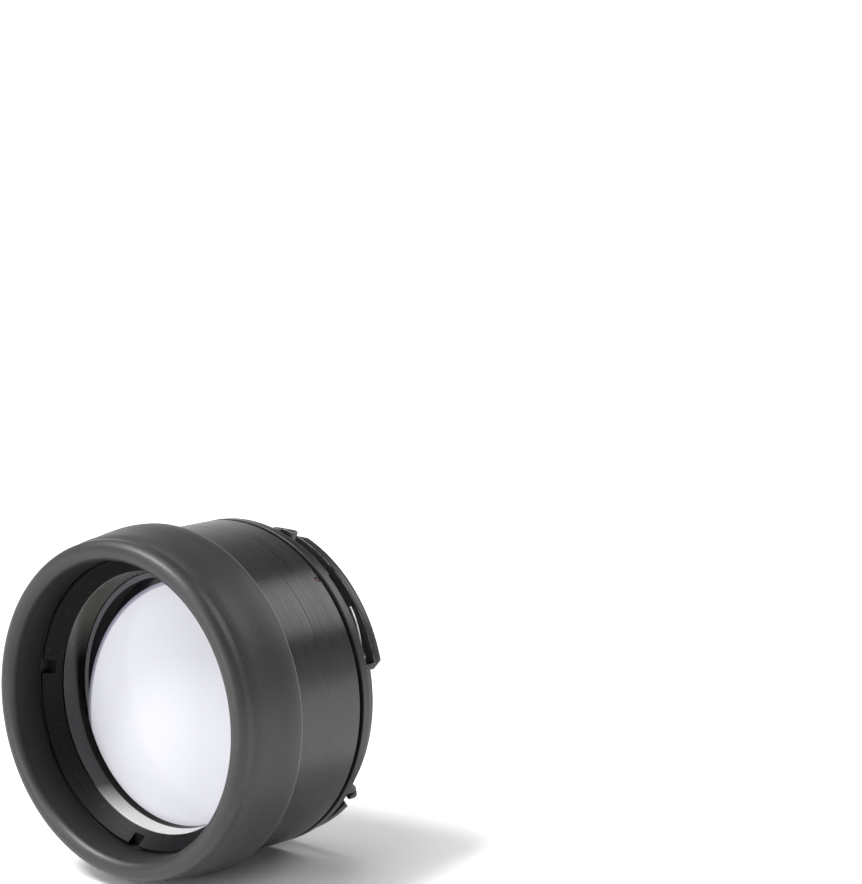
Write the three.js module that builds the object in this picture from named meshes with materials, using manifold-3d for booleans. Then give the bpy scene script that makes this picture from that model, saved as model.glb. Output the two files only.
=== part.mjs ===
// Barlow lens: an afocal magnifying converter with a bayonet tail.
// Millimetres. The optical axis is Y: the front glass faces -Y and the bayonet tail faces +Y.
// The origin is on the optical axis, within 0.2 mm of mid length. +Z is up, with the part on its side.
// Angles round the axis are clock angles: 0 is up, 90 is +X, as seen from the front.

import * as THREE from 'three';
import { mergeVertices } from 'three/addons/utils/BufferGeometryUtils.js';
import Module from 'manifold-3d';

const wasm = await Module();
wasm.setup();

// ---- driving dimensions ----
const FRONT = -19.63;                     // crest of the lip
const REAR = 20;
const GAP = 0.3;                          // clearance between neighbours
const FINE = 60;                          // facets round the large rings
const MEDIUM = 48;                        // facets round the inner rings

const BARREL_R = 31;
const RUBBER_R = 32.9;
const SEAM = -5.1;                        // rubber meets the bare barrel
const CORE_R = 29.2;                      // barrel radius under the rubber
const LIP_R = 29.6;                       // middle of the round lip's section
const LIP_ROUND = 1.93;
const MOUTH_R = 27.4;                     // inner edge of the rubber, at its rear
const MOUTH = -12.73;
const BARREL_REAR = 12.5;

const FLANGE_FRONT = 13.35;
const FLANGE_REAR = 15.05;
const TUBE_R = 29.4;
const RAIL_R = 30.3;
const SOCKET_R = 27.6;                    // bore that takes the instrument's nose
const TUBE_REAR = 17.74;
const RAIL_FRONT = 18.16;
const SEAT_R = 21.6;                      // bore of the bayonet ring's seat

const SLOT_TURNS = [0, 114, 237];         // unequal steps, so the lens locks on one way only
const ARCH_START = 9;                     // clock angles of the first J-slot and its arch
const SLOT_START = 12;
const ENTRY_START = 16;
const ENTRY_END = 18;
const TOOTH_START = 38.6;
const TOOTH_END = 40.2;
const SPRING_TIP = 53.8;
const SPRING_KNEE = 70;
const SPRING_ROOT = 74.2;
const SLOT_END = 75.4;
const ARCH_END = 77.4;
const RAISED_FLOOR = 16.4;                // slot floor between the entry and the tooth
const TOOTH_REAR = 17.2;

const CELL_R = 27.7;                      // barrel counterbore for the front cell
const CELL_REAR = 3.2;
const GLASS_R = 26.6;
const GLASS_FRONT = -4.1;                 // rim of the front glass
const CLEAR_R = 23.9;
const STEP_R = 24.43;
const STEP_Y = -9.43;
const MIDDLE_R = 20;                      // bore between the two cells
const REAR_CELL_R = 21.4;
const REAR_CELL_FRONT = 6.2;
const REAR_GLASS_R = 21;
const SCREW_CIRCLE = 24.8;
const SCREWS = 6;
const INDEX_CLOCK = 42;

// ---- materials ----
function material(color, roughness, metalness) {
  return new THREE.MeshStandardMaterial({ color, roughness, metalness });
}

const RUBBER = [0x3c3c3d, 0.78, 0];
const ANODISED = [0x38383a, 0.42, 0.6];
const SATIN_BLACK = [0x1e1d1f, 0.38, 0.4];
const MATT_BLACK = [0x101011, 0.85, 0];
const SEAL_BLACK = [0x0c0c0d, 0.6, 0];
const STEEL = [0xb8b8ba, 0.3, 1];
const GLASS = [0xe4e4ec, 0.08, 0];
const INDEX_RED = [0x7a1f24, 0.5, 0];

// ---- shape helpers ----
const rad = THREE.MathUtils.degToRad;

/** Closed ring or solid of revolution about Y; the outer wall runs towards +Y. */
function turned(profile, facets) {
  const points = profile.map(([r, y]) => new THREE.Vector2(r, y));
  const first = points[0];
  const last = points[points.length - 1];
  if (first.x > 0 || last.x > 0) points.push(first.clone());
  return new THREE.LatheGeometry(points, facets);
}

/** Plain ring with square corners. */
function ring(inner, outer, y0, y1, facets) {
  return turned([[inner, y0], [outer, y0], [outer, y1], [inner, y1]], facets);
}

/** Round cord section bent into a ring. */
function cordRing(middle, radius, y, facets) {
  const sides = 8;
  const profile = [];
  for (let i = 0; i < sides; i += 1) {
    const a = rad(22.5) + (i * 2 * Math.PI) / sides;
    profile.push([middle + radius * Math.cos(a), y + radius * Math.sin(a)]);
  }
  return turned(profile, facets);
}

/** Annular sector between two clock angles, with flat ends. */
function sector(inner, outer, y0, y1, from, to) {
  const a0 = rad(from - 90);
  const a1 = rad(to - 90);
  const shape = new THREE.Shape();
  shape.absarc(0, 0, outer, a0, a1, false);
  shape.absarc(0, 0, inner, a1, a0, true);
  shape.closePath();
  const curveSegments = Math.max(1, Math.ceil((to - from) / 12));
  const geometry = new THREE.ExtrudeGeometry(shape, { depth: y1 - y0, bevelEnabled: false, curveSegments });
  geometry.rotateX(-Math.PI / 2);
  geometry.translate(0, y0, 0);
  return geometry;
}

/** Small plate cut from a clock-angle and Y outline, as thick as the radii given. */
function bentPlate(outline, inner, outer) {
  const shape = new THREE.Shape(outline.map(([clock, y]) => new THREE.Vector2(clock, y)));
  const geometry = new THREE.ExtrudeGeometry(shape, { depth: outer - inner, bevelEnabled: false });
  const position = geometry.attributes.position;
  for (let i = 0; i < position.count; i += 1) {
    const clock = rad(position.getX(i));
    const r = inner + position.getZ(i);
    position.setXYZ(i, r * Math.sin(clock), position.getY(i), r * Math.cos(clock));
  }
  return geometry;
}

/** Strip of rectangular section: each station is [clock, inner, outer, y] and `thick` is along Y. */
function bentStrip(stations, thick) {
  const vertices = [];
  for (const [clock, inner, outer, y] of stations) {
    const s = Math.sin(rad(clock));
    const c = Math.cos(rad(clock));
    vertices.push(inner * s, y, inner * c, outer * s, y, outer * c);
    vertices.push(outer * s, y + thick, outer * c, inner * s, y + thick, inner * c);
  }
  const faces = [0, 2, 1, 0, 3, 2];
  for (let i = 0; i + 1 < stations.length; i += 1) {
    for (let k = 0; k < 4; k += 1) {
      const a = 4 * i + k;
      const b = 4 * i + ((k + 1) % 4);
      faces.push(a, b + 4, a + 4, a, b, b + 4);
    }
  }
  const end = 4 * (stations.length - 1);
  faces.push(end, end + 1, end + 2, end, end + 2, end + 3);
  const geometry = new THREE.BufferGeometry();
  geometry.setAttribute('position', new THREE.Float32BufferAttribute(vertices, 3));
  geometry.setIndex(faces);
  return geometry;
}

/** Pin, hole or screw body along Y, at a radius and clock angle. */
function post(radius, y0, y1, circle, clock, sides) {
  const geometry = new THREE.CylinderGeometry(radius, radius, y1 - y0, sides);
  geometry.translate(circle * Math.sin(rad(clock)), (y0 + y1) / 2, circle * Math.cos(rad(clock)));
  return geometry;
}

/** Pin along a radius, from one radius to another, at a height and clock angle. */
function radialPin(radius, inner, outer, y, clock, sides) {
  const geometry = new THREE.CylinderGeometry(radius, radius, outer - inner, sides);
  geometry.rotateX(Math.PI / 2);
  geometry.translate(0, 0, (inner + outer) / 2);
  geometry.rotateY(rad(clock));
  geometry.translate(0, y, 0);
  return geometry;
}

function toSolid(geometry) {
  const bare = geometry.clone();
  bare.deleteAttribute('normal');
  bare.deleteAttribute('uv');
  const merged = mergeVertices(bare, 1e-4);
  const vertProperties = new Float32Array(merged.attributes.position.array);
  const triVerts = new Uint32Array(merged.index.array);
  return new wasm.Manifold(new wasm.Mesh({ numProp: 3, vertProperties, triVerts }));
}

function toGeometry(solid) {
  const mesh = solid.getMesh();
  const geometry = new THREE.BufferGeometry();
  geometry.setAttribute('position', new THREE.BufferAttribute(new Float32Array(mesh.vertProperties), 3));
  geometry.setIndex(new THREE.BufferAttribute(new Uint32Array(mesh.triVerts), 1));
  geometry.computeVertexNormals();
  return geometry;
}

function cut(geometry, cutters) {
  return cutters.reduce((solid, cutter) => solid.subtract(toSolid(cutter)), toSolid(geometry));
}

const object = new THREE.Group();

function place(name, geometry, finish) {
  const mesh = new THREE.Mesh(geometry, material(...finish));
  mesh.name = name;
  object.add(mesh);
  return mesh;
}

// ---- rubber bumper round the front: round lip, convex outside, nearly straight inside ----
const LIP_STEPS = 8;
const lip = [];
for (let i = 0; i <= LIP_STEPS; i += 1) {
  const a = Math.PI * (1 + i / LIP_STEPS);
  lip.push([LIP_R + LIP_ROUND * Math.cos(a), FRONT + LIP_ROUND + LIP_ROUND * Math.sin(a)]);
}
place('rubber_bumper', turned([
  [CORE_R + GAP, MOUTH + GAP],
  [MOUTH_R, MOUTH + GAP],
  [MOUTH_R, MOUTH],
  ...lip,
  [RUBBER_R - 1, FRONT + 3.6],
  [RUBBER_R - 0.55, FRONT + 7],
  [RUBBER_R, FRONT + 12],
  [RUBBER_R - 0.1, SEAM - 0.5],
  [RUBBER_R - 0.5, SEAM],
  [CORE_R + GAP, SEAM],
], FINE), RUBBER);

// ---- main barrel: front cell counterbore, middle bore, rear cell and screw holes ----
const LAND_R = 27.5;
const barrel = turned([
  [CELL_R, MOUTH + 2 * GAP],
  [CORE_R, MOUTH + 2 * GAP],
  [CORE_R, SEAM + GAP],
  [BARREL_R - 0.3, SEAM + GAP],
  [BARREL_R, SEAM + 2 * GAP],
  [BARREL_R, BARREL_REAR - GAP],
  [BARREL_R - 0.3, BARREL_REAR],
  [LAND_R, BARREL_REAR],
  [LAND_R, FLANGE_FRONT - GAP],
  [REAR_CELL_R, FLANGE_FRONT - GAP],
  [REAR_CELL_R, REAR_CELL_FRONT],
  [MIDDLE_R, REAR_CELL_FRONT],
  [MIDDLE_R, CELL_REAR],
  [CELL_R, CELL_REAR],
], FINE);
const INDEX_RADIUS = 0.55;
const INDEX_GAP = 0.15;
const INDEX_Y = BARREL_REAR - INDEX_RADIUS - 2 * INDEX_GAP;
const SCREW_RADIUS = 0.9;
const screwClock = (i) => 27 + (i * 360) / SCREWS;
const barrelCuts = [radialPin(INDEX_RADIUS + INDEX_GAP, 29.2, 33, INDEX_Y, INDEX_CLOCK, 16)];
for (let i = 0; i < SCREWS; i += 1) {
  barrelCuts.push(post(SCREW_RADIUS + GAP, 7.6, FLANGE_FRONT + 1, SCREW_CIRCLE, screwClock(i), 12));
}
place('main_barrel', toGeometry(cut(barrel, barrelCuts)), ANODISED);
place('index_dot', radialPin(INDEX_RADIUS, 29.2 + INDEX_GAP, BARREL_R - 0.1, INDEX_Y, INDEX_CLOCK, 16), INDEX_RED);

// ---- front retaining ring: tapered bore with spanner notches ----
const NOTCHES = 4;
const FIRST_NOTCH = 6.4;
const NOTCH_HALF = 2.8;
const RETAINER_FRONT = MOUTH + 2 * GAP;
const retainer = turned([
  [STEP_R, STEP_Y],
  [MOUTH_R - 0.4, RETAINER_FRONT],
  [CELL_R - GAP, RETAINER_FRONT],
  [CELL_R - GAP, STEP_Y],
], MEDIUM);
const notches = [];
for (let i = 0; i < NOTCHES; i += 1) {
  const middle = FIRST_NOTCH + (i * 360) / NOTCHES;
  notches.push(sector(STEP_R - 1.5, STEP_R + 1.3, MOUTH - 1, STEP_Y - 0.8, middle - NOTCH_HALF, middle + NOTCH_HALF));
}
place('front_retaining_ring', toGeometry(cut(retainer, notches)), SATIN_BLACK);

// ---- clamp sleeve between the retaining ring and the glass ----
place('front_clamp_sleeve', turned([
  [CLEAR_R, GLASS_FRONT - GAP],
  [STEP_R - 0.1, STEP_Y + GAP],
  [CELL_R - GAP, STEP_Y + GAP],
  [CELL_R - GAP, GLASS_FRONT - GAP],
], MEDIUM), SATIN_BLACK);

// ---- cemented front doublet: positive crown and negative flint ----
const CROWN_BULGE = 1.2;
const CEMENT_BULGE = 1.6;
const CROWN_EDGE = 2.2;
const CEMENT_GAP = 0.1;
const FLINT_EDGE = 3.8;

/** Spherical face as [r, y] points from axis to rim; its pole stands `bulge` along +Y from the rim. */
function face(rimR, rimY, bulge, steps) {
  const points = [];
  for (let i = 0; i <= steps; i += 1) {
    const r = (rimR * i) / steps;
    points.push([r, rimY + bulge * (1 - (r / rimR) ** 2)]);
  }
  return points;
}

/** Lens with a straight edge between two spherical faces. */
function lens(rimR, front, frontBulge, rear, rearBulge) {
  return turned([...face(rimR, front, frontBulge, 5), ...face(rimR, rear, rearBulge, 5).reverse()], MEDIUM);
}

const crownRear = GLASS_FRONT + CROWN_EDGE;
const flintFront = crownRear + CEMENT_GAP;
const flintRear = flintFront + FLINT_EDGE;
place('front_crown_lens', lens(GLASS_R, GLASS_FRONT, -CROWN_BULGE, crownRear, CEMENT_BULGE), GLASS);
place('front_flint_lens', lens(GLASS_R, flintFront, CEMENT_BULGE, flintRear, -0.6), GLASS);

// ---- seals, baffle tube, rear lens and its retaining ring ----
const SEAL = 0.5;
const SEAL_GAP = 0.1;
const frontSealY = flintRear + SEAL_GAP + SEAL;
place('front_lens_seal', cordRing(GLASS_R - SEAL, SEAL, frontSealY, MEDIUM), SEAL_BLACK);
place('baffle_tube', turned([
  [MIDDLE_R - 1.6, CELL_REAR - 0.4],
  [MIDDLE_R - GAP, CELL_REAR - 0.4],
  [MIDDLE_R - GAP, REAR_CELL_FRONT - 0.8],
  [MIDDLE_R - 1, REAR_CELL_FRONT - 0.8],
], MEDIUM), MATT_BLACK);
const rearSealY = REAR_CELL_FRONT + SEAL_GAP + SEAL;
const rearGlassFront = rearSealY + SEAL + SEAL_GAP;
const rearGlassRear = rearGlassFront + 3.4;
place('rear_lens_seal', cordRing(REAR_GLASS_R - SEAL, SEAL, rearSealY, MEDIUM), SEAL_BLACK);
place('rear_lens', lens(REAR_GLASS_R, rearGlassFront, 1.3, rearGlassRear, -0.7), GLASS);
const rearRetainer = turned([
  [REAR_GLASS_R - 2.4, rearGlassRear + SEAL_GAP],
  [REAR_GLASS_R, rearGlassRear + SEAL_GAP],
  [REAR_GLASS_R, FLANGE_FRONT - GAP],
  [REAR_GLASS_R - 1.8, FLANGE_FRONT - GAP],
], MEDIUM);
const rearNotches = [0, 180].map((middle) => sector(17, 20.2, FLANGE_FRONT - 1.2, 15, middle - 3, middle + 3));
place('rear_retaining_ring', toGeometry(cut(rearRetainer, rearNotches)), SATIN_BLACK);

// ---- gasket in the groove between barrel and bayonet ring ----
place('flange_gasket', ring(LAND_R + GAP, 30.1, BARREL_REAR + 0.1, FLANGE_FRONT - 0.1, FINE), SEAL_BLACK);

// ---- bayonet ring: seat with screw recesses, flange, tube and three arched J-slots ----
const HEAD_RADIUS = 1.7;
const HEAD_FRONT = 14.3;
const RIVET_CLOCK = 72.2;
const RIVET_CIRCLE = 29.2;
const RIVET_RADIUS = 0.4;
const RIVET_FRONT = 14;
const BEYOND = 2;                         // how far cutters stand past a face
const bayonet = turned([
  [SEAT_R, FLANGE_FRONT],
  [BARREL_R - 0.25, FLANGE_FRONT],
  [BARREL_R, FLANGE_FRONT + 0.25],
  [BARREL_R, FLANGE_REAR],
  [RAIL_R, FLANGE_REAR],
  [RAIL_R, REAR - 0.25],
  [RAIL_R - 0.25, REAR],
  [SOCKET_R + 0.3, REAR],
  [SOCKET_R, REAR - 0.3],
  [SOCKET_R, FLANGE_REAR],
  [SEAT_R, FLANGE_REAR],
], FINE);
const bayonetCuts = [];
for (let i = 0; i < SCREWS; i += 1) {
  const clock = screwClock(i);
  bayonetCuts.push(post(SCREW_RADIUS + GAP, FLANGE_FRONT - 1, REAR, SCREW_CIRCLE, clock, 12));
  bayonetCuts.push(post(HEAD_RADIUS + GAP, HEAD_FRONT - GAP, FLANGE_REAR + 1, SCREW_CIRCLE, clock, 16));
}
const CUT_IN = SOCKET_R - BEYOND;
const CUT_OUT = RAIL_R + BEYOND;
const TAPER_START = 2.4;                  // degrees the arch ends and the rail's start lean per millimetre
const TAPER_END = 1.05;
const TAPER_RAIL = 1.6;
const over = REAR + 1 - TUBE_REAR;
SLOT_TURNS.forEach((turn, k) => {
  const next = k + 1 < SLOT_TURNS.length ? SLOT_TURNS[k + 1] : SLOT_TURNS[0] + 360;
  const open = ARCH_END + turn;
  const close = ARCH_START + next;
  bayonetCuts.push(sector(CUT_IN, CUT_OUT, TUBE_REAR, REAR + 1, open, close));
  bayonetCuts.push(bentPlate([
    [open, TUBE_REAR],
    [open + 1, TUBE_REAR],
    [open + 1, REAR + 1],
    [open - TAPER_END * over, REAR + 1],
  ], CUT_IN, CUT_OUT));
  bayonetCuts.push(bentPlate([
    [close - 1, TUBE_REAR],
    [close, TUBE_REAR],
    [close + TAPER_START * over, REAR + 1],
    [close - 1, REAR + 1],
  ], CUT_IN, CUT_OUT));
  bayonetCuts.push(sector(TUBE_R, CUT_OUT, FLANGE_REAR, TUBE_REAR + 1, open, close));
  const floors = [
    [RAISED_FLOOR, SLOT_START, TOOTH_START],
    [TOOTH_REAR, TOOTH_START - 1, TOOTH_END + 1],
    [FLANGE_REAR, TOOTH_END, SLOT_END],
  ];
  for (const [floor, from, to] of floors) {
    bayonetCuts.push(sector(CUT_IN, CUT_OUT, floor, RAIL_FRONT, from + turn, to + turn));
  }
  bayonetCuts.push(bentPlate([
    [ENTRY_START + turn, RAIL_FRONT - 0.5],
    [ENTRY_END + turn, RAIL_FRONT - 0.5],
    [ENTRY_END + turn, RAIL_FRONT],
    [ENTRY_END + TAPER_RAIL * (REAR + 1 - RAIL_FRONT) + turn, REAR + 1],
    [ENTRY_START + turn, REAR + 1],
  ], CUT_IN, CUT_OUT));
  bayonetCuts.push(post(RIVET_RADIUS + GAP, RIVET_FRONT - GAP, REAR, RIVET_CIRCLE, RIVET_CLOCK + turn, 8));
});
place('bayonet_ring', toGeometry(cut(bayonet, bayonetCuts)), SATIN_BLACK);

// ---- screws that hold the bayonet ring to the barrel ----
for (let i = 0; i < SCREWS; i += 1) {
  const clock = screwClock(i);
  const shank = post(SCREW_RADIUS, 8, HEAD_FRONT + 0.1, SCREW_CIRCLE, clock, 12);
  const head = post(HEAD_RADIUS, HEAD_FRONT, FLANGE_REAR - 0.05, SCREW_CIRCLE, clock, 16);
  const bar = new THREE.BoxGeometry(2.2, 0.8, 0.5);
  bar.rotateY(rad(clock + 20));
  bar.translate(SCREW_CIRCLE * Math.sin(rad(clock)), FLANGE_REAR, SCREW_CIRCLE * Math.cos(rad(clock)));
  const screw = toSolid(shank).add(toSolid(head)).subtract(toSolid(bar));
  place(`bayonet_screw_${i + 1}`, toGeometry(screw), STEEL);
}

// ---- click springs in the J-slots, each with its rivet ----
const SPRING_THICK = 0.45;
const SPRING_REST = FLANGE_REAR + GAP;    // height of the riveted tab
const SPRING_RISE = 1.35;                 // how far the free tip stands above the tab
const SPRING_STEPS = 6;
SLOT_TURNS.forEach((turn, k) => {
  const stations = [
    [SPRING_ROOT + turn, 28.3, 30.1, SPRING_REST],
    [SPRING_KNEE + turn, 28.3, 30.1, SPRING_REST],
  ];
  for (let i = 1; i <= SPRING_STEPS; i += 1) {
    const t = i / SPRING_STEPS;
    const clock = SPRING_KNEE + (SPRING_TIP - SPRING_KNEE) * t;
    stations.push([clock + turn, 28.3 + 0.3 * t, 30.1 - 0.1 * t, SPRING_REST + SPRING_RISE * t]);
  }
  const hole = post(RIVET_RADIUS + GAP, SPRING_REST - 1, SPRING_REST + 1, RIVET_CIRCLE, RIVET_CLOCK + turn, 8);
  place(`click_spring_${k + 1}`, toGeometry(cut(bentStrip(stations, SPRING_THICK), [hole])), STEEL);
  const headFront = SPRING_REST + SPRING_THICK + GAP;
  const stem = post(RIVET_RADIUS, RIVET_FRONT, headFront + 0.1, RIVET_CIRCLE, RIVET_CLOCK + turn, 8);
  const cap = post(0.85, headFront, headFront + 0.4, RIVET_CIRCLE, RIVET_CLOCK + turn, 12);
  place(`spring_rivet_${k + 1}`, toGeometry(toSolid(stem).add(toSolid(cap))), STEEL);
});

export default object;
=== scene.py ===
"""Barlow lens: fine meshes, materials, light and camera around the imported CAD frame.

Lengths in the tables are millimetres and are scaled to metres when a mesh is made.
The optical axis is Y, front glass towards -Y. Clock angles: 0 is up, 90 is +X.
"""
import math

import bmesh
import bpy
from mathutils import Matrix, Vector


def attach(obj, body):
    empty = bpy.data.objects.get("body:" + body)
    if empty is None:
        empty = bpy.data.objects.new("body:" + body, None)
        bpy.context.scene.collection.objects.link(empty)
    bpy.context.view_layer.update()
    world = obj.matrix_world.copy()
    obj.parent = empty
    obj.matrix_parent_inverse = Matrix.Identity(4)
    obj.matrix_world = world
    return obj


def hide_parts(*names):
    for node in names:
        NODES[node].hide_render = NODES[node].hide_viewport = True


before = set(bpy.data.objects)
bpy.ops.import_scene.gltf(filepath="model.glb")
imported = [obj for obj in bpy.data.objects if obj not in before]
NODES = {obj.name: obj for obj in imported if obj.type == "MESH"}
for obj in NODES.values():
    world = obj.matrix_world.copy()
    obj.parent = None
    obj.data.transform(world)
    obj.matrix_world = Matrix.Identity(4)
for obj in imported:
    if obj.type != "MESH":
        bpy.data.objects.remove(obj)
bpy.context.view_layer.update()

MM = 0.001
BODY = "lens_body"

# ---- stations shared by several pieces, in millimetres ----
FRONT, REAR = -19.63, 20.0
BARREL_R = 31.0
RUBBER_R, SEAM = 32.9, -5.1
LIP_R, LIP_ROUND = 29.6, 1.93             # middle and radius of the round lip's section
LIP_Y = FRONT + LIP_ROUND
MOUTH_R, MOUTH = 27.4, -12.73
STEP_R, STEP_Y = 24.43, -9.43
GLASS_R, GLASS_Y = 26.6, -4.1
CLEAR_R = 23.9
CELL_R, CELL_REAR = 27.7, 3.2
FLANGE_FRONT, FLANGE_REAR = 13.35, 15.05
SEAT_R, SOCKET_R = 21.6, 27.6
TUBE_R, RAIL_R = 29.4, 30.3
TUBE_REAR, RAIL_FRONT = 17.74, 18.16
SCREW_CIRCLE = 24.8
SLOT_TURNS = (0.0, 114.0, 237.0)
SEGMENTS = 288
SHARP = 38.0                              # degrees; steeper edges are drawn sharp
WELD, RESULT_WELD = 1e-5, 2e-3            # millimetres; points this close are joined


# ---------------------------------------------------------------- profiles
def fillet(points, steps=5):
    """Closed loop of (r, y, radius) corners, with each corner rounded by its radius."""
    out = []
    n = len(points)
    for i, (r, y, f) in enumerate(points):
        p = Vector((r, y))
        a = Vector(points[i - 1][:2])
        b = Vector(points[(i + 1) % n][:2])
        u, v = (a - p), (b - p)
        if f <= 0:
            out.append((r, y))
            continue
        half = u.angle(v) / 2
        reach = min(f / math.tan(half), 0.45 * u.length, 0.45 * v.length)
        s, e = p + u.normalized() * reach, p + v.normalized() * reach
        for k in range(steps + 1):
            t = k / steps
            q = (1 - t) ** 2 * s + 2 * t * (1 - t) * p + t * t * e
            out.append((q.x, q.y))
    return out


def support(loop, inset=0.14, longest=0.7):
    """Adds a point near each end of every long straight run, so that shading stays flat on it."""
    out = []
    n = len(loop)
    for i in range(n):
        a, b = Vector(loop[i]), Vector(loop[(i + 1) % n])
        out.append(tuple(a))
        d = b - a
        if d.length > longest:
            out.append(tuple(a + d * (inset / d.length)))
            out.append(tuple(b - d * (inset / d.length)))
    return out


def spline(points, steps=6):
    """Open Catmull-Rom curve through (r, y) points."""
    p = [Vector(q) for q in points]
    p = [2 * p[0] - p[1]] + p + [2 * p[-1] - p[-2]]
    out = []
    for i in range(1, len(p) - 2):
        for k in range(steps):
            t = k / steps
            a, b, c, d = p[i - 1:i + 3]
            q = 0.5 * (2 * b + (c - a) * t + (2 * a - 5 * b + 4 * c - d) * t * t
                       + (3 * b - a - 3 * c + d) * t ** 3)
            out.append((q.x, q.y))
    out.append(tuple(p[-2]))
    return out


def dome(rim_r, rim_y, bulge, steps=14):
    """Lens face from the axis to the rim, a parabola; its pole stands bulge along +Y from the rim."""
    return [(rim_r * i / steps, rim_y + bulge * (1 - (i / steps) ** 2)) for i in range(steps + 1)]


# ---------------------------------------------------------------- meshes
def shade_smooth(bm, sharp):
    """Smooth faces, with every edge steeper than sharp degrees drawn as an edge."""
    for f in bm.faces:
        f.smooth = True
    for e in bm.edges:
        e.smooth = len(e.link_faces) == 2 and e.calc_face_angle(0) < math.radians(sharp)


def finish_mesh(name, bm, sharp=SHARP):
    """Welds and shades a mesh in millimetres, and makes it an object in metres."""
    bmesh.ops.remove_doubles(bm, verts=bm.verts, dist=WELD)
    bmesh.ops.recalc_face_normals(bm, faces=bm.faces)
    shade_smooth(bm, sharp)
    bmesh.ops.scale(bm, vec=(MM,) * 3, verts=bm.verts)
    mesh = bpy.data.meshes.new(name)
    bm.to_mesh(mesh)
    bm.free()
    obj = bpy.data.objects.new(name, mesh)
    bpy.context.scene.collection.objects.link(obj)
    return obj


def lathe_bm(loop, segments, closed=True):
    """Solid or ring of revolution about Y from (r, y) points; an open loop starts and ends on the axis."""
    bm = bmesh.new()
    rings = []
    for r, y in loop:
        if r < 1e-6:
            rings.append([bm.verts.new((0, y, 0))])
            continue
        ring = []
        for k in range(segments):
            a = 2 * math.pi * k / segments
            ring.append(bm.verts.new((r * math.sin(a), y, r * math.cos(a))))
        rings.append(ring)
    count = len(rings)
    for i in range(count if closed else count - 1):
        a, b = rings[i], rings[(i + 1) % count]
        for k in range(segments):
            m = (k + 1) % segments
            if len(a) == 1 and len(b) == 1:
                continue
            if len(a) == 1:
                bm.faces.new((a[0], b[k], b[m]))
            elif len(b) == 1:
                bm.faces.new((a[k], b[0], a[m]))
            else:
                bm.faces.new((a[k], b[k], b[m], a[m]))
    return bm


def lathe(name, loop, closed=True, sharp=SHARP):
    return finish_mesh(name, lathe_bm(loop, SEGMENTS, closed), sharp)


def wrap(bm):
    """Bends a flat block round the axis: X is degrees of clock angle, Z is radius."""
    for v in bm.verts:
        a = math.radians(v.co.x)
        r = v.co.z
        v.co = Vector((r * math.sin(a), v.co.y, r * math.cos(a)))


FLAT = math.pi / 180 * 29.0               # millimetres per degree in a flat block
BEVEL_FROM = 25.0                         # degrees; steeper edges of a plate get a bevel


def plate_bm(outline, inner, outer, bevel=0.12, pitch=1.0, base_y=None):
    """Outline of (clock, y) corners, extruded from inner to outer radius, with bevelled edges.

    The bevels are material 1. Edges at base_y stay sharp. Pitch is the step in degrees of the bend.
    """
    bm = bmesh.new()
    verts = [bm.verts.new((c * FLAT, y, inner)) for c, y in outline]
    face = bm.faces.new(verts)
    out = bmesh.ops.extrude_face_region(bm, geom=[face])
    for v in [g for g in out["geom"] if isinstance(g, bmesh.types.BMVert)]:
        v.co.z = outer
    bmesh.ops.recalc_face_normals(bm, faces=bm.faces)
    edges = [e for e in bm.edges if e.calc_face_angle(0) > math.radians(BEVEL_FROM)]
    if base_y is not None:
        edges = [e for e in edges if not all(v.co.y < base_y + 1e-4 for v in e.verts)]
    bmesh.ops.bevel(bm, geom=edges, offset=bevel, segments=2, profile=0.5,
                    affect="EDGES", clamp_overlap=True, material=1)
    low = min(v.co.x for v in bm.verts) / FLAT
    high = max(v.co.x for v in bm.verts) / FLAT
    c = math.ceil(low / pitch + 1e-6) * pitch
    while c < high - 1e-6:
        geom = bm.verts[:] + bm.edges[:] + bm.faces[:]
        bmesh.ops.bisect_plane(bm, geom=geom, plane_co=(c * FLAT, 0, 0), plane_no=(1, 0, 0), dist=WELD)
        c += pitch
    for v in bm.verts:
        v.co.x /= FLAT
    wrap(bm)
    return bm


def boolean(obj, others, operation):
    """Applies an exact boolean with each of the others, which are then removed."""
    for other in others:
        m = obj.modifiers.new("cut", "BOOLEAN")
        m.operation = operation
        m.solver = "EXACT"
        m.material_mode = "INDEX"
        m.object = other
    bpy.context.view_layer.update()
    graph = bpy.context.evaluated_depsgraph_get()
    mesh = bpy.data.meshes.new_from_object(obj.evaluated_get(graph))
    obj.modifiers.clear()
    obj.data = mesh
    for other in others:
        bpy.data.objects.remove(other)


def resharpen(obj):
    """Joins the slivers that a boolean leaves, and shades the mesh again."""
    weld = RESULT_WELD * MM
    bm = bmesh.new()
    bm.from_mesh(obj.data)
    bmesh.ops.remove_doubles(bm, verts=bm.verts, dist=weld)
    bmesh.ops.dissolve_degenerate(bm, edges=bm.edges, dist=weld)
    shade_smooth(bm, SHARP)
    bm.to_mesh(obj.data)
    bm.free()


def turn(bm, degrees, axis):
    matrix = Matrix.Rotation(math.radians(degrees), 3, axis)
    bmesh.ops.rotate(bm, cent=(0, 0, 0), matrix=matrix, verts=bm.verts)


def shift(bm, circle, clock, y=0):
    """Moves a mesh from the optical axis out to a radius and clock angle."""
    a = math.radians(clock)
    bmesh.ops.translate(bm, vec=(circle * math.sin(a), y, circle * math.cos(a)), verts=bm.verts)


def peg(name, loop, circle, clock, segments=48):
    """Solid of revolution about an axis parallel to Y, at a radius and clock angle."""
    bm = lathe_bm(loop, segments, closed=False)
    shift(bm, circle, clock)
    return finish_mesh(name, bm)


def radial_peg(name, loop, y, clock):
    """Solid of revolution about a radius: loop holds (distance from the radius line, radius)."""
    bm = lathe_bm(loop, 40, closed=False)
    turn(bm, 90, "X")
    turn(bm, clock, "Y")
    bmesh.ops.translate(bm, vec=(0, y, 0), verts=bm.verts)
    return finish_mesh(name, bm)


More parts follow.
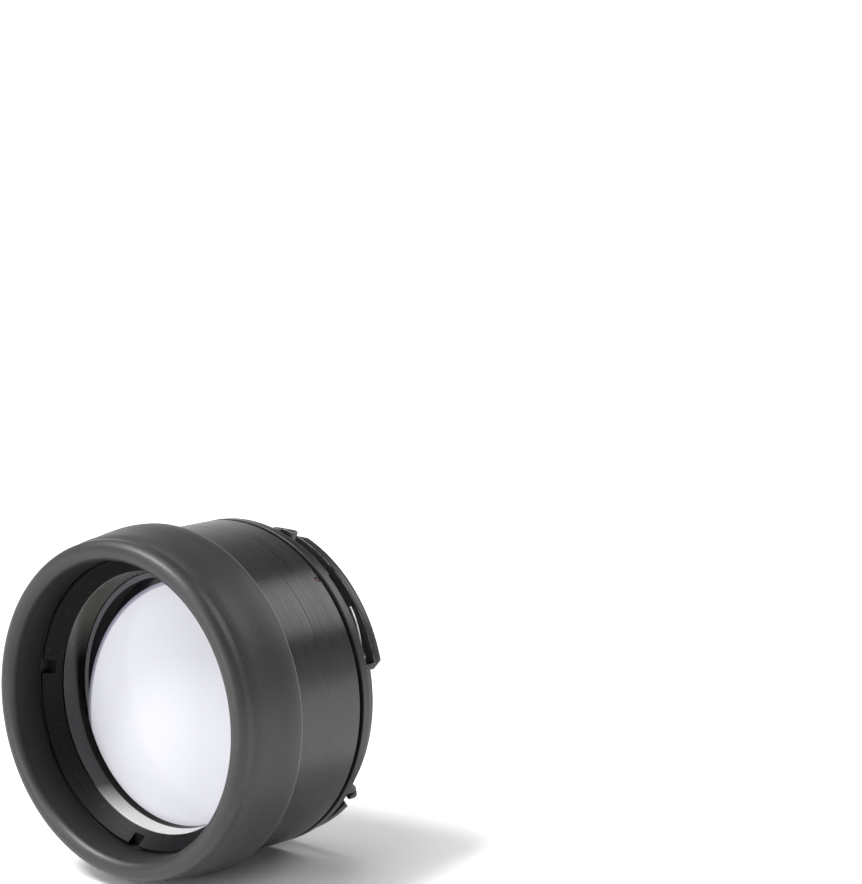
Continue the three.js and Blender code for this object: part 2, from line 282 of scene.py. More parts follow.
def box_at(name, size, circle, clock, y, spin):
    """Box with its middle at a radius and clock angle, turned by spin degrees about Y."""
    bm = bmesh.new()
    bmesh.ops.create_cube(bm, size=1)
    bmesh.ops.scale(bm, vec=size, verts=bm.verts)
    turn(bm, spin, "Y")
    shift(bm, circle, clock, y)
    return finish_mesh(name, bm)


# ---------------------------------------------------------------- materials
class Net:
    """Short hand for a Principled material's node tree."""

    def __init__(self, name):
        self.mat = bpy.data.materials.new(name)
        self.mat.use_nodes = True
        self.nodes = self.mat.node_tree.nodes
        self.links = self.mat.node_tree.links
        self.shader = self.nodes["Principled BSDF"]
        self.coord = self.nodes.new("ShaderNodeTexCoord").outputs["Object"]

    def set(self, **values):
        for key, value in values.items():
            self.shader.inputs[key.replace("_", " ")].default_value = value

    def link(self, a, b):
        self.links.new(a, b)

    def node(self, kind, **props):
        n = self.nodes.new(kind)
        for k, v in props.items():
            setattr(n, k, v)
        return n

    def math(self, operation, a, b=0.0):
        n = self.node("ShaderNodeMath", operation=operation)
        for socket, value in zip(n.inputs, (a, b)):
            if isinstance(value, (int, float)):
                socket.default_value = value
            else:
                self.link(value, socket)
        return n.outputs[0]

    def noise(self, scale, detail=2.0, rough=0.5, vector=None):
        n = self.node("ShaderNodeTexNoise")
        n.inputs["Scale"].default_value = scale
        n.inputs["Detail"].default_value = detail
        n.inputs["Roughness"].default_value = rough
        self.link(vector or self.coord, n.inputs["Vector"])
        return n.outputs["Fac"]

    def ramp(self, fac, stops):
        """Grey ramp through (position, value) stops."""
        n = self.node("ShaderNodeValToRGB")
        n.color_ramp.elements[0].position = stops[0][0]
        n.color_ramp.elements[1].position = stops[-1][0]
        for p, c in stops[1:-1]:
            n.color_ramp.elements.new(p)
        for e, (p, c) in zip(n.color_ramp.elements, stops):
            e.position = p
            e.color = (c, c, c, 1)
        self.link(fac, n.inputs["Fac"])
        return n.outputs["Color"]

    def map(self, fac, low, high, from_low=0.0, from_high=1.0):
        """Low to high as fac goes from from_low to from_high, clamped at both ends."""
        n = self.node("ShaderNodeMapRange")
        ends = {"From Min": from_low, "From Max": from_high, "To Min": low, "To Max": high}
        for key, value in ends.items():
            n.inputs[key].default_value = value
        self.link(fac, n.inputs["Value"])
        return n.outputs["Result"]

    def mix(self, fac, a, b):
        n = self.node("ShaderNodeMix", data_type="RGBA")
        self.link(fac, n.inputs[0])
        for socket, value in ((n.inputs[6], a), (n.inputs[7], b)):
            if isinstance(value, tuple):
                socket.default_value = (*value, 1)
            else:
                self.link(value, socket)
        return n.outputs[2]

    def bump(self, height, strength, distance):
        n = self.node("ShaderNodeBump")
        n.inputs["Strength"].default_value = strength
        n.inputs["Distance"].default_value = distance
        self.link(height, n.inputs["Height"])
        return n.outputs["Normal"]

    def split(self):
        """The three coordinates, in metres."""
        n = self.node("ShaderNodeSeparateXYZ")
        self.link(self.coord, n.inputs[0])
        return n.outputs

    def axial(self):
        """Position along the optical axis, in millimetres."""
        return self.math("MULTIPLY", self.split()["Y"], 1000.0)

    def height(self):
        """Height above the optical axis, in millimetres."""
        return self.math("MULTIPLY", self.split()["Z"], 1000.0)

    def off_axis(self, x=0.0, z=0.0):
        """Distance in millimetres from the line through (x, z) parallel to the optical axis."""
        here = self.split()
        dx = self.math("SUBTRACT", self.math("MULTIPLY", here["X"], 1000.0), x)
        dz = self.math("SUBTRACT", self.math("MULTIPLY", here["Z"], 1000.0), z)
        squares = self.math("ADD", self.math("MULTIPLY", dx, dx), self.math("MULTIPLY", dz, dz))
        return self.math("SQRT", squares)

    def turning(self, around):
        """Coordinates squeezed round the axis, so that noise on them draws fine lathe lines."""
        here = self.split()
        comb = self.node("ShaderNodeCombineXYZ")
        for key, squeeze in (("X", around), ("Y", 1.0), ("Z", around)):
            self.link(self.math("MULTIPLY", here[key], squeeze), comb.inputs[key])
        return comb.outputs[0]

    def color(self, c):
        self.link(c, self.shader.inputs["Base Color"])

    def rough(self, r):
        self.link(r, self.shader.inputs["Roughness"])

    def normal(self, n):
        self.link(n, self.shader.inputs["Normal"])


def rubber_material(name, dark, light, rough=(0.56, 0.7), grain=4200.0, gloss=0.36, wear_and_highlight=None,
                    mouth_painted_shade=None):
    """Cloudy rubber with a few pale specks.

    The argument worn holds the two ends, along the axis, of a paler band, a painted highlight along the
    rubber's rear edge with the look of rubbing. The argument mouth_painted_shade holds the two radii
    between which the inside of the hood, darkened with painted shade and made less glossy, changes to the
    look of the outside.
    """
    m = Net(name)
    cloud = m.noise(45.0, 3.0)
    fine = m.noise(grain, 2.0, 0.6)
    speck = m.ramp(m.noise(1500.0, 2.0), [(0.0, 0.0), (0.66, 0.0), (0.74, 1.0), (1.0, 1.0)])
    base = m.mix(m.map(cloud, 0, 1, 0.35, 0.65), dark, light)
    base = m.mix(m.math("MULTIPLY", speck, 0.10), base, (0.22, 0.22, 0.22))
    # painted highlight: a paler band along the rubber's rear edge, with the look of rubbing
    if wear_and_highlight:
        y, (start, end) = m.axial(), wear_and_highlight
        band = m.math("MULTIPLY", m.map(y, 0, 1, start, start + 0.15), m.map(y, 1, 0, end - 0.1, end))
        base = m.mix(band, base, (0.10, 0.10, 0.10))
    # painted shade: the inside of the hood's mouth is darkened, and made less glossy, inward of the outer
    # radius
    if mouth_painted_shade:
        outside_painted_shade = m.map(m.off_axis(), 0, 1, *mouth_painted_shade)
        base = m.mix(outside_painted_shade, (0.006, 0.0058, 0.006), base)
        m.link(m.map(outside_painted_shade, 0.06, gloss), m.shader.inputs["Specular IOR Level"])
    else:
        m.set(Specular_IOR_Level=gloss)
    m.color(base)
    m.rough(m.map(fine, *rough, 0.3, 0.7))
    relief = m.math("ADD", m.math("MULTIPLY", fine, 0.7), m.math("MULTIPLY", cloud, 0.3))
    m.normal(m.bump(relief, 0.35, 6e-5))
    return m.mat


LATHE_LINES, LATHE_DEPTH = 2600.0, 9e-6     # scale of the noise, and metres
# the clamp sleeve's matt gloss, the olive painted light on its upper part, and the millimetres of height
# over which that painted light fades in
MATT_GLOSS, UPPER_PAINTED_LIGHT, UPPER_PAINTED_LIGHT_FADE = 0.08, (0.085, 0.082, 0.074), 8.0
# the bright painted highlight low on the clamp sleeve, and the heights in millimetres between which it
# fades
SLEEVE_PAINTED_HIGHLIGHT, SLEEVE_PAINTED_HIGHLIGHT_FROM, SLEEVE_PAINTED_HIGHLIGHT_TO = (0.46, 0.46, 0.45), -22.8, -18.5


def turned_material(name, dark, light, rough=(0.24, 0.42), anisotropic=0.0, gloss=0.5, matt_from=None,
                    matt_below=None):
    """Dark turned metal with fine lathe lines and a little dust.

    With matt_from and matt_below, in millimetres, it is matt behind the one and below the other,
    has olive painted light on its upper part, and has a bright painted highlight in a crescent low
    down, in front of matt_from: the clamp sleeve's look.
    """
    m = Net(name)
    fine = m.noise(LATHE_LINES, 2.0, 0.7, m.turning(0.012))
    wide = m.noise(LATHE_LINES * 0.2, 1.0, 0.5, m.turning(0.05))
    dust = m.ramp(m.noise(900.0, 3.0, 0.6), [(0.0, 0.0), (0.62, 0.0), (0.78, 1.0), (1.0, 1.0)])
    base = m.mix(m.map(m.math("ADD", fine, wide), 0, 1, 0.75, 1.25), dark, light)
    base = m.mix(m.math("MULTIPLY", dust, 0.06), base, (0.3, 0.3, 0.31))
    m.color(base)
    m.rough(m.math("ADD", m.map(fine, *rough, 0.3, 0.7), m.math("MULTIPLY", dust, 0.1)))
    m.normal(m.bump(m.math("ADD", fine, m.math("MULTIPLY", wide, 1.5)), 0.6, LATHE_DEPTH))
    if matt_from is None:
        m.set(Specular_IOR_Level=gloss)
    else:
        # low is 1 below matt_below; higher up the colour turns to olive painted light
        low = m.map(m.height(), 1, 0, matt_below, matt_below + UPPER_PAINTED_LIGHT_FADE)
        rear = m.map(m.axial(), 0, 1, matt_from - 0.15, matt_from + 0.15)
        # a painted highlight in a crescent low down, in front of matt_from
        crescent = m.map(m.height(), 1, 0, SLEEVE_PAINTED_HIGHLIGHT_FROM, SLEEVE_PAINTED_HIGHLIGHT_TO)
        crescent = m.math("MULTIPLY", crescent, m.math("SUBTRACT", 1.0, rear))
        m.color(m.mix(crescent, m.mix(low, UPPER_PAINTED_LIGHT, base), SLEEVE_PAINTED_HIGHLIGHT))
        shine = m.map(m.math("MULTIPLY", low, rear), gloss, MATT_GLOSS)
        m.link(shine, m.shader.inputs["Specular IOR Level"])
    if anisotropic:
        m.set(Anisotropic=anisotropic, Anisotropic_Rotation=0.25)
        tangent = m.node("ShaderNodeTangent", direction_type="RADIAL", axis="Y")
        m.link(tangent.outputs[0], m.shader.inputs["Tangent"])
    return m.mat


def metal_material(name, tone, rough=(0.22, 0.4), stain=0.35):
    """Bare metal with fine scratches and patches darkened to stain times its tone."""
    m = Net(name)
    fine = m.noise(1800.0, 3.0, 0.65, m.turning(0.15))
    patch = m.noise(420.0, 3.0)
    m.color(m.mix(m.map(patch, 0, 1, 0.35, 0.6), tuple(c * stain for c in tone), tone))
    m.rough(m.map(fine, *rough, 0.3, 0.7))
    m.normal(m.bump(fine, 0.4, 8e-6))
    m.set(Metallic=1.0)
    return m.mat


# painted shade on the front glass: its tone darkens to PAINTED_SHADE times itself between
# PAINTED_SHADE_START and PAINTED_SHADE_END millimetres from the line at x = PAINTED_SHADE_FROM
PAINTED_SHADE_FROM, PAINTED_SHADE_START, PAINTED_SHADE_END, PAINTED_SHADE = -60.0, 42.0, 68.0, 0.74
# radii of the dark rim lines painted on the front glass, a painted reflection near its rim
INNER_RIM, OUTER_RIM = CLEAR_R - 1.3, CLEAR_R - 0.25


def glass_material(name, tone, rough=0.05, crescent=None):
    """Coated glass whose pale colour is a painted reflection of the white surroundings, with smears and
    dust.

    Crescent holds the offset, clock angle and radius of a circle on the face, outside which the glass
    is dark with a painted reflection and painted rim lines; such a face also carries painted shade: it
    falls in brightness with the distance from a line at x = PAINTED_SHADE_FROM.
    """
    m = Net(name)
    smear = m.noise(60.0, 3.0)
    dust = m.ramp(m.noise(1400.0, 2.0), [(0.0, 0.0), (0.7, 0.0), (0.8, 1.0), (1.0, 1.0)])
    face = m.mix(m.map(smear, 0, 1, 0.35, 0.65), tuple(c * 0.985 for c in tone), tone)
    if crescent:
        # painted shade: darker with the distance from the line at x = PAINTED_SHADE_FROM
        painted_shade_mask = m.map(m.off_axis(PAINTED_SHADE_FROM), 0, 1, PAINTED_SHADE_START, PAINTED_SHADE_END)
        face = m.mix(painted_shade_mask, face, tuple(c * PAINTED_SHADE for c in tone))
        # painted reflection: dark grey outside an offset circle, then black and grey rim lines
        offset, clock, reach = crescent
        clock = math.radians(clock)
        mirrored = m.off_axis(offset * math.sin(clock), offset * math.cos(clock))
        face = m.mix(m.map(mirrored, 0, 1, reach, reach + 0.35), face, (0.26, 0.26, 0.33))
        rim = m.map(m.off_axis(), 0, 1, INNER_RIM, INNER_RIM + 0.2)
        rim = m.mix(rim, (0.004, 0.004, 0.005), (0.10, 0.10, 0.11))
        edge = m.map(m.off_axis(), 0, 1, OUTER_RIM, OUTER_RIM + 0.15)
        rim = m.mix(edge, rim, (0.006, 0.006, 0.006))
        face = m.mix(m.map(mirrored, 0, 1, reach + 0.7, reach + 0.95), face, rim)
    m.color(face)
    m.rough(m.math("ADD", m.map(smear, rough, rough + 0.03, 0.3, 0.7), m.math("MULTIPLY", dust, 0.04)))
    m.set(Specular_IOR_Level=0.22, IOR=1.52)
    return m.mat


def enamel_material(name, dark, light):
    m = Net(name)
    cloud = m.noise(3000.0, 2.0)
    m.color(m.mix(m.map(cloud, 0, 1, 0.35, 0.65), dark, light))
    m.rough(m.map(cloud, 0.35, 0.55))
    m.normal(m.bump(cloud, 0.3, 2e-5))
    return m.mat


# rubber with a painted highlight along its rear edge and painted shade inside the hood's mouth
RUBBER = rubber_material("rubber", (0.017, 0.0172, 0.0178), (0.023, 0.0233, 0.024), rough=(0.40, 0.48),
                         gloss=0.47, wear_and_highlight=(SEAM - 0.45, SEAM - 0.05), mouth_painted_shade=(27.3, 28.1))
SEAL = rubber_material("seal_rubber", (0.006, 0.006, 0.006), (0.012, 0.012, 0.012), rough=(0.5, 0.65))
MATT = rubber_material("matt_black", (0.004, 0.004, 0.004), (0.008, 0.008, 0.008), rough=(0.8, 0.95),
                       grain=2600.0)
ANODISED = turned_material("black_anodised", (0.008, 0.008, 0.009), (0.014, 0.014, 0.015),
                           rough=(0.26, 0.38), anisotropic=0.7, gloss=0.62)
SATIN = turned_material("satin_black", (0.004, 0.004, 0.005), (0.007, 0.007, 0.008), rough=(0.42, 0.52),
                        gloss=0.08)
# the clamp sleeve: olive painted light on its upper part, a bright painted highlight low down
SLEEVE = turned_material("clamp_black", (0.004, 0.004, 0.004), (0.007, 0.007, 0.006), rough=(0.12, 0.2),
                         gloss=0.7, matt_from=-6.0, matt_below=4.0)
TAIL = turned_material("bayonet_black", (0.010, 0.010, 0.011), (0.018, 0.018, 0.020), rough=(0.3, 0.42))
STEEL = metal_material("spring_steel", (0.62, 0.60, 0.57), rough=(0.3, 0.45), stain=0.6)
SCREW_STEEL = metal_material("screw_steel", (0.30, 0.30, 0.31), rough=(0.3, 0.5))
WORN_EDGE = metal_material("worn_edge", (0.24, 0.24, 0.25), rough=(0.35, 0.5), stain=0.15)
BARE_EDGE = metal_material("bare_edge", (0.80, 0.80, 0.82), rough=(0.35, 0.5), stain=0.5)
# both glasses carry pale colour as a painted reflection of the white surroundings; the front one also has
# painted shade, a painted reflection in a crescent and painted rim lines
GLASS = glass_material("coated_glass", (0.72, 0.72, 0.78), rough=0.08)
FRONT_GLASS = glass_material("coated_front_glass", (0.70, 0.70, 0.757), rough=0.08,
                             crescent=(10.0, 132.0, 29.3))
RED = enamel_material("red_enamel", (0.035, 0.008, 0.010), (0.055, 0.011, 0.013))


def dress(obj, materials, node, body=BODY):
    """Gives a mesh its materials, in the order of its face material indices, attaches it to a body and
    hides the CAD node it replaces.
    """
    slots = obj.data.materials
    for i, m in enumerate(materials):
        if i < len(slots):
            slots[i] = m
        else:
            slots.append(m)
    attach(obj, body)
    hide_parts(node)


# ---------------------------------------------------------------- rubber bumper
LIP_STEPS = 26
lip = []
for i in range(LIP_STEPS + 1):
    a = math.pi * (1 + i / LIP_STEPS)
    lip.append((LIP_R + LIP_ROUND * math.cos(a), LIP_Y + LIP_ROUND * math.sin(a)))
WALL_START, WALL_END = (31.7, LIP_Y + 1.5), (32.86, -5.75)
BORE_R, WIDEST_Y = 29.55, -7.0
crease = spline([(lip[-1][0], LIP_Y), (31.53, LIP_Y + 0.5), (31.58, LIP_Y + 1.1), WALL_START], 4)
wall = spline([WALL_START, (32.0, -14.8), (32.3, -12.0), (32.75, -8.8), (RUBBER_R, WIDEST_Y), WALL_END])
rear_edge = fillet([(*WALL_END, 0), (32.8, SEAM - 0.02, 0.22), (31.4, SEAM, 0)], 5)[1:-1]
loop = [(BORE_R, MOUTH + 0.3), (MOUTH_R + 0.12, MOUTH + 0.3), (MOUTH_R + 0.03, MOUTH + 0.24),
        (MOUTH_R, MOUTH + 0.12)]
loop += spline([(MOUTH_R, MOUTH), (27.5, -15.0), (27.62, -16.8), (lip[0][0], LIP_Y)], 5)[:-1]
loop += lip[:-1] + crease[:-1] + wall[:-1] + rear_edge + [(31.3, SEAM), (BORE_R, SEAM)]
dress(lathe("rubber_bumper_fine", support(loop, 0.2, 1.6)), [RUBBER], "rubber_bumper")

# ---------------------------------------------------------------- barrel
LINE_Y, LINE_R = 4.0, BARREL_R - 0.025      # a scribed line round the barrel
NECK_R, SPIGOT_R, REAR_CELL_R, THROAT_R = 29.2, 27.5, 21.4, 20.0
BARREL_REAR, SPIGOT_REAR, THROAT_Y = 12.5, 13.05, 6.2
RING_FRONT = MOUTH + 0.6
barrel_loop = fillet([
    (CELL_R, RING_FRONT, 0.05), (NECK_R, RING_FRONT, 0.05), (NECK_R, SEAM + 0.3, 0.03),
    (BARREL_R - 0.28, SEAM + 0.3, 0.05), (BARREL_R, SEAM + 0.58, 0.1), (BARREL_R, LINE_Y - 0.12, 0.02),
    (LINE_R, LINE_Y - 0.04, 0.02), (LINE_R, LINE_Y + 0.04, 0.02), (BARREL_R, LINE_Y + 0.12, 0.02),
    (BARREL_R, BARREL_REAR - 0.3, 0.1), (BARREL_R - 0.3, BARREL_REAR, 0.1), (SPIGOT_R, BARREL_REAR, 0.02),
    (SPIGOT_R, SPIGOT_REAR, 0.05), (REAR_CELL_R, SPIGOT_REAR, 0.08), (REAR_CELL_R, THROAT_Y, 0.03),
    (THROAT_R, THROAT_Y, 0.05), (THROAT_R, CELL_REAR, 0.05), (CELL_R, CELL_REAR, 0.03)], 3)
barrel = lathe("main_barrel_fine", support(barrel_loop))
INDEX_Y, INDEX_CLOCK = 11.65, 42.0
hole = radial_peg("index_hole", [(0, 30.4), (0.62, 30.4), (0.62, 31.6), (0, 31.6)], INDEX_Y, INDEX_CLOCK)
boolean(barrel, [hole], "DIFFERENCE")
resharpen(barrel)
dress(barrel, [ANODISED], "main_barrel")
DOT = [(0, 30.2), (0.56, 30.2), (0.56, 30.86), (0.5, 30.93), (0.3, 30.97), (0, 30.98)]
dot = radial_peg("index_dot_fine", DOT, INDEX_Y, INDEX_CLOCK)
dress(dot, [RED], "index_dot")

# ---------------------------------------------------------------- front cell rings
def spanner_notches(middles, half, front, rear, inner, outer):
    """Cutters for notches with their middles at the clock angles, half degrees to either side."""
    cutters = []
    for c in middles:
        outline = [(c - half, front), (c + half, front), (c + half, rear), (c - half, rear)]
        cutters.append(finish_mesh("notch", plate_bm(outline, inner, outer, bevel=0.1, pitch=0.5)))
    return cutters


FIRST_NOTCH, NOTCH_HALF = 6.4, 2.8
RING_R = 27.4
ring_loop = fillet([(STEP_R, STEP_Y, 0.08), (27.0, RING_FRONT, 0.12), (RING_R, RING_FRONT, 0.05),
                    (RING_R, STEP_Y, 0.03)], 4)
retainer = lathe("front_retaining_ring_fine", support(ring_loop, 0.1))
cutters = spanner_notches([FIRST_NOTCH + i * 90 for i in range(4)], NOTCH_HALF, MOUTH - 1, STEP_Y - 1,
                          inner=22.5, outer=CELL_R)
boolean(retainer, cutters, "DIFFERENCE")
resharpen(retainer)
dress(retainer, [SATIN], "front_retaining_ring")
sleeve_loop = fillet([(CLEAR_R, GLASS_Y - 0.3, 0.06), (24.4, STEP_Y + 0.3, 0.12),
                      (RING_R, STEP_Y + 0.3, 0.03), (RING_R, GLASS_Y - 0.3, 0.03)], 4)
sleeve = lathe("front_clamp_sleeve_fine", support(sleeve_loop, 0.1))
dress(sleeve, [SLEEVE], "front_clamp_sleeve")

# ---------------------------------------------------------------- lenses
def lens(name, rim, front, front_bulge, rear, rear_bulge, node, material):
    loop = dome(rim, front, front_bulge) + dome(rim, rear, rear_bulge)[::-1]
    dress(lathe(name, loop, closed=False, sharp=50.0), [material], node)


lens("front_crown_lens_fine", GLASS_R, GLASS_Y, -1.2, GLASS_Y + 2.2, 1.6, "front_crown_lens", FRONT_GLASS)
lens("rear_lens_fine", 21.0, 7.4, 1.3, 10.8, -0.7, "rear_lens", GLASS)

# ---------------------------------------------------------------- rear cell ring and gasket
REAR_RING_R, REAR_RING_Y = 21.0, 10.9
rear_loop = fillet([(18.62, REAR_RING_Y, 0.05), (REAR_RING_R, REAR_RING_Y, 0.05),
                    (REAR_RING_R, SPIGOT_REAR, 0.08), (19.2, SPIGOT_REAR, 0.15)], 4)
rear_ring = lathe("rear_retaining_ring_fine", support(rear_loop, 0.1))
cutters = spanner_notches((0.0, 180.0), 3, 12.15, 14, inner=17.0, outer=20.2)
boolean(rear_ring, cutters, "DIFFERENCE")
resharpen(rear_ring)
dress(rear_ring, [SATIN], "rear_retaining_ring")
GASKET = [(27.8, 12.6, 0.1), (30.1, 12.6, 0.2), (30.1, 13.25, 0.2), (27.8, 13.25, 0.1)]
dress(lathe("flange_gasket_fine", fillet(GASKET, 4)), [SEAL], "flange_gasket")

# ---------------------------------------------------------------- bayonet tail
ARCH_START, SLOT_START, ENTRY_START, ENTRY_END, SLOT_END, ARCH_END = 9.0, 12.0, 16.0, 18.0, 75.4, 77.4
TOOTH_START, TOOTH_END = 38.6, 40.2
RAISED_FLOOR, TOOTH_REAR = 16.4, 17.2
LEAN_START, LEAN_END, LEAN_RAIL = 2.4, 1.05, 1.6    # degrees the end faces lean per millimetre
BASE = FLANGE_REAR - 0.5                            # the walls start inside the flange
flange_loop = fillet([(SEAT_R, FLANGE_FRONT, 0.05), (BARREL_R, FLANGE_FRONT, 0.18),
                      (BARREL_R, FLANGE_REAR, 0.12), (SEAT_R, FLANGE_REAR, 0.12)], 4)
tail = lathe("bayonet_ring_fine", support(flange_loop))
RECESS = [(0, 12.5), (1.2, 12.5), (1.2, 14.0), (2.0, 14.0), (2.0, 14.92), (2.2, 15.2), (0, 15.2)]
screw_clocks = [27 + i * 60 for i in range(6)]
cutters = [peg("recess", RECESS, SCREW_CIRCLE, c) for c in screw_clocks]
boolean(tail, cutters, "DIFFERENCE")
hook_lean = LEAN_START * (REAR - TUBE_REAR)
rail_lean = LEAN_END * (REAR - TUBE_REAR)
entry_lean = LEAN_RAIL * (REAR - RAIL_FRONT)
TUCK, INSET, DEPTH, PROUD = 1, 0.05, 0.2, 0.02
# outlines of the first slot's pieces, as (clock, y) corners
HOOK = [(ARCH_START, BASE), (SLOT_START, BASE), (SLOT_START, RAIL_FRONT), (ENTRY_START, RAIL_FRONT),
        (ENTRY_START, REAR), (ARCH_START + hook_lean, REAR), (ARCH_START, TUBE_REAR)]
RAIL = [(SLOT_END, BASE), (ARCH_END, BASE), (ARCH_END, TUBE_REAR), (ARCH_END - rail_lean, REAR),
        (ENTRY_END + entry_lean, REAR), (ENTRY_END, RAIL_FRONT), (SLOT_END, RAIL_FRONT)]
STEP = [(SLOT_START - TUCK, BASE), (TOOTH_END, BASE), (TOOTH_END, TOOTH_REAR), (TOOTH_START, TOOTH_REAR),
        (TOOTH_START, RAISED_FLOOR), (SLOT_START - TUCK, RAISED_FLOOR)]
CREST = [(TOOTH_START + INSET, RAISED_FLOOR - DEPTH), (TOOTH_END - INSET, RAISED_FLOOR - DEPTH),
         (TOOTH_END - INSET, TOOTH_REAR + PROUD), (TOOTH_START + INSET, TOOTH_REAR + PROUD)]
parts = []
for k, t in enumerate(SLOT_TURNS):
    following = SLOT_TURNS[k + 1] if k + 1 < len(SLOT_TURNS) else SLOT_TURNS[0] + 360
    start, end = ARCH_END - TUCK + t, ARCH_START + following + TUCK
    tube = [(start, BASE), (end, BASE), (end, TUBE_REAR), (start, TUBE_REAR)]
    hook, rail, step, crest = ([(c + t, y) for c, y in outline] for outline in (HOOK, RAIL, STEP, CREST))
    # the radii differ by a hair, so that no two faces coincide in the union
    for outline, inner, outer in ((hook, SOCKET_R, RAIL_R), (rail, SOCKET_R, RAIL_R),
                                  (tube, SOCKET_R + 0.004, TUBE_R),
                                  (step, SOCKET_R + 0.008, RAIL_R - 0.02)):
        parts.append(finish_mesh("wall", plate_bm(outline, inner, outer, base_y=BASE)))
    wear_and_highlight = finish_mesh("wear_and_highlight", plate_bm(crest, SOCKET_R + 0.01, RAIL_R - 0.005, bevel=0.08))
    for face in wear_and_highlight.data.polygons:
        face.material_index = 2
    parts.append(wear_and_highlight)
TAIL_MATERIALS = [TAIL, WORN_EDGE, BARE_EDGE]       # faces, bevels, tooth crests
for part in parts + [tail]:
    for m in TAIL_MATERIALS:
        part.data.materials.append(m)
boolean(tail, parts, "UNION")
resharpen(tail)
dress(tail, TAIL_MATERIALS, "bayonet_ring")

# ---------------------------------------------------------------- screws
SCREW = [(0, 8.0), (0.7, 8.0), (0.9, 8.2), (0.9, 14.3), (1.7, 14.3), (1.7, 14.8), (1.58, 14.94),
         (1.3, 15.0), (0, 15.02)]
DRIVE, DRIVE_Y, DRIVE_TURN = (2.3, 0.9, 0.5), 15.05, 20
for i, clock in enumerate(screw_clocks):
    head = peg(f"bayonet_screw_{i + 1}_fine", SCREW, SCREW_CIRCLE, clock)
    drive = box_at("drive", DRIVE, SCREW_CIRCLE, clock, DRIVE_Y, clock + DRIVE_TURN)
    boolean(head, [drive], "DIFFERENCE")
    resharpen(head)
    dress(head, [SCREW_STEEL], f"bayonet_screw_{i + 1}")

# ---------------------------------------------------------------- click springs and rivets
SPRING_REST, THICK, RISE = FLANGE_REAR + 0.3, 0.45, 1.35
TIP, KNEE, ROOT = 53.8, 70.0, 74.2                  # clock angles along a leaf
LEAF_INNER, LEAF_OUTER, LEAF_STEPS, SWELL = 28.35, 30.05, 18, 0.22
RIVET_CLOCK, RIVET_CIRCLE = 72.2, 29.2
RIVET_HOLE = [(0, 14), (0.62, 14), (0.62, 17), (0, 17)]
HEAD_Y = SPRING_REST + THICK + 0.3
RIVET = [(0, 14.0), (0.4, 14.0), (0.4, HEAD_Y), (0.8, HEAD_Y), (0.84, HEAD_Y + 0.08), (0.74, HEAD_Y + 0.26),
         (0.45, HEAD_Y + 0.38), (0, HEAD_Y + 0.42)]
for k, t in enumerate(SLOT_TURNS):
    bottom = [(ROOT + t, SPRING_REST)]
    for i in range(LEAF_STEPS + 1):
        a = i / LEAF_STEPS
        lift = RISE * (a + SWELL * math.sin(math.pi * a))
        bottom.append((KNEE + (TIP - KNEE) * a + t, SPRING_REST + lift))
    top = [(c, y + THICK) for c, y in bottom]
    bm = plate_bm(bottom + top[::-1], LEAF_INNER, LEAF_OUTER, bevel=0.05, pitch=0.5)
    leaf = finish_mesh(f"click_spring_{k + 1}_fine", bm)
    boolean(leaf, [peg("rivet_hole", RIVET_HOLE, RIVET_CIRCLE, RIVET_CLOCK + t)], "DIFFERENCE")
    resharpen(leaf)
    dress(leaf, [STEEL], f"click_spring_{k + 1}", f"click_spring_{k + 1}")
    rivet = peg(f"spring_rivet_{k + 1}_fine", RIVET, RIVET_CIRCLE, RIVET_CLOCK + t, 32)
    dress(rivet, [STEEL], f"spring_rivet_{k + 1}")

# ---------------------------------------------------------------- carried-over inner CAD nodes
for node, material in (("front_flint_lens", GLASS), ("front_lens_seal", SEAL), ("rear_lens_seal", SEAL),
                       ("baffle_tube", MATT)):
    NODES[node].data.materials.clear()
    NODES[node].data.materials.append(material)

# ---------------------------------------------------------------- floor, light, camera
scene = bpy.context.scene
slope = math.atan2(RUBBER_R - BARREL_R, FLANGE_REAR - WIDEST_Y)
bm = bmesh.new()
bmesh.ops.create_circle(bm, cap_ends=True, radius=4.0, segments=96)
floor_mesh = bpy.data.meshes.new("floor")
bm.to_mesh(floor_mesh)
bm.free()
floor = bpy.data.objects.new("floor", floor_mesh)
scene.collection.objects.link(floor)
floor.location = (0, WIDEST_Y * MM, -RUBBER_R * MM)  # touches the rubber's widest ring
floor.rotation_euler = (slope, 0, 0)
floor_net = Net("pale_floor")
cloud = floor_net.map(floor_net.noise(9.0, 2.0), 0, 1, 0.3, 0.7)
floor_net.color(floor_net.mix(cloud, (0.93, 0.93, 0.93), (0.95, 0.95, 0.95)))
floor_net.set(Roughness=0.9, Specular_IOR_Level=0.1)
floor.data.materials.append(floor_net.mat)

world = bpy.data.worlds.new("studio")
world.use_nodes = True
sky = world.node_tree
backdrop = sky.nodes["Background"]
backdrop.inputs["Color"].default_value = (1, 1, 1, 1)
split = sky.nodes.new("ShaderNodeSeparateXYZ")
sky.links.new(sky.nodes.new("ShaderNodeTexCoord").outputs["Generated"], split.inputs[0])
brighter = sky.nodes.new("ShaderNodeMath")
brighter.operation = "MAXIMUM"
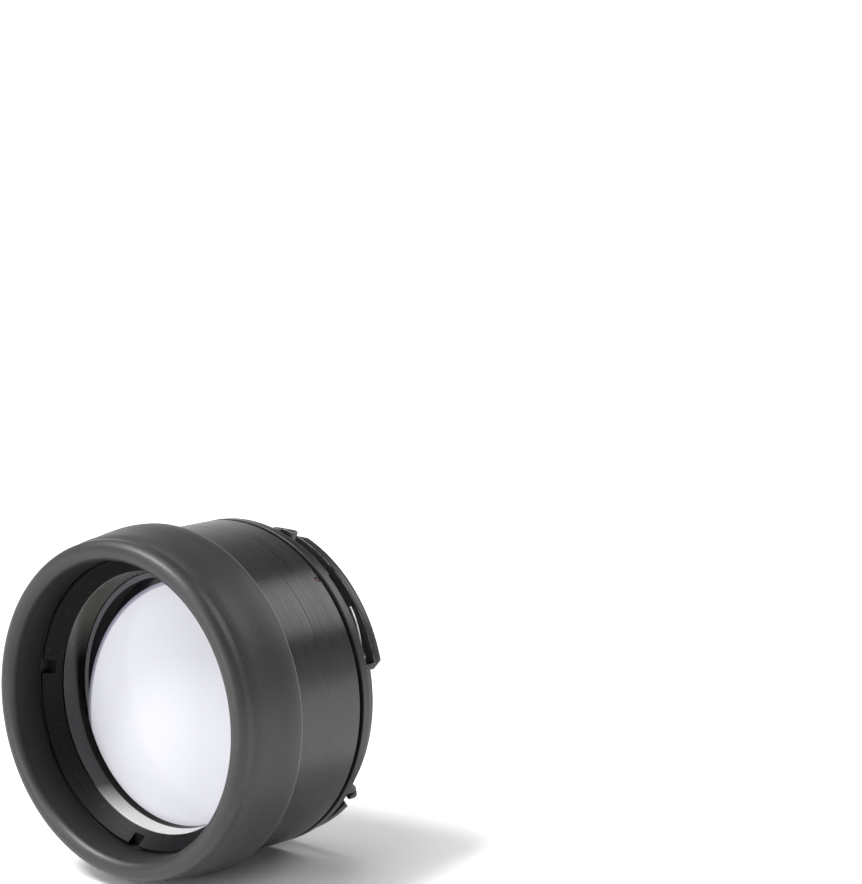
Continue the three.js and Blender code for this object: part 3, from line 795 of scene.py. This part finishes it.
# two fades with height: from a bright backdrop to a dim ceiling, and a white cove at the horizon
FADE_ENDS = ("From Min", "From Max", "To Min", "To Max")
FADES = ((0.26, 0.40, 0.62, 0.14), (0.04, 0.11, 1.10, 0.00))
for socket, values in zip(brighter.inputs, FADES):
    fade = sky.nodes.new("ShaderNodeMapRange")
    for key, value in zip(FADE_ENDS, values):
        fade.inputs[key].default_value = value
    sky.links.new(split.outputs["Z"], fade.inputs["Value"])
    sky.links.new(fade.outputs["Result"], socket)
sky.links.new(brighter.outputs[0], backdrop.inputs["Strength"])
scene.world = world


def soft_sun(name, towards, spread, strength):
    """Even light from a round soft source; towards points from the object to the source."""
    light = bpy.data.lights.new(name, "SUN")
    light.angle = math.radians(spread)
    light.energy = strength
    obj = bpy.data.objects.new(name, light)
    obj.rotation_euler = Vector(towards).to_track_quat("Z", "Y").to_euler()
    scene.collection.objects.link(obj)


soft_sun("back_softbox", (0.335, 0.695, 0.630), 32, 0.80)
soft_sun("key_softbox", (-0.32, -0.38, 0.75), 20, 3.3)
soft_sun("top_softbox", (-0.40, -0.15, 0.90), 70, 1.6)
soft_sun("rim_softbox", (-0.68, 0.69, 0.24), 30, 0.12)
soft_sun("front_softbox", (-0.15, -0.95, 0.28), 45, 1.5)

AZIMUTH, ELEVATION, DISTANCE = 44.32, 13.74, 0.66942
TARGET = Vector((0, -3.05 * MM, 0))
LENS_MM, SENSOR_MM = 146.61, 36.0
SEEN_RIGHT, SEEN_UP = -0.06979826, -0.07085656  # tangents of the target's direction from the middle of view
az, el = math.radians(AZIMUTH), math.radians(ELEVATION)
out = Vector((math.sin(az) * math.cos(el), -math.cos(az) * math.cos(el), math.sin(el)))
forward = -out
right = forward.cross(Vector((0, 0, 1))).normalized()
up = right.cross(forward)
seen = Vector((SEEN_RIGHT, SEEN_UP, 1)).normalized()
swing = Vector((0, 0, 1)).rotation_difference(seen).to_matrix()
axes = [sum((swing[i][j] * v for j, v in enumerate((right, up, forward))), Vector()) for i in range(3)]
camera_data = bpy.data.cameras.new("camera")
camera_data.lens = LENS_MM
camera_data.sensor_fit = "VERTICAL"
camera_data.sensor_height = SENSOR_MM
camera_data.clip_start = 0.01
camera = bpy.data.objects.new("camera", camera_data)
place = TARGET + out * DISTANCE
turned = Matrix((axes[0], axes[1], -axes[2])).transposed().to_4x4()
camera.matrix_world = Matrix.Translation(place) @ turned
scene.collection.objects.link(camera)
scene.camera = camera
scene.view_settings.view_transform = "Standard"
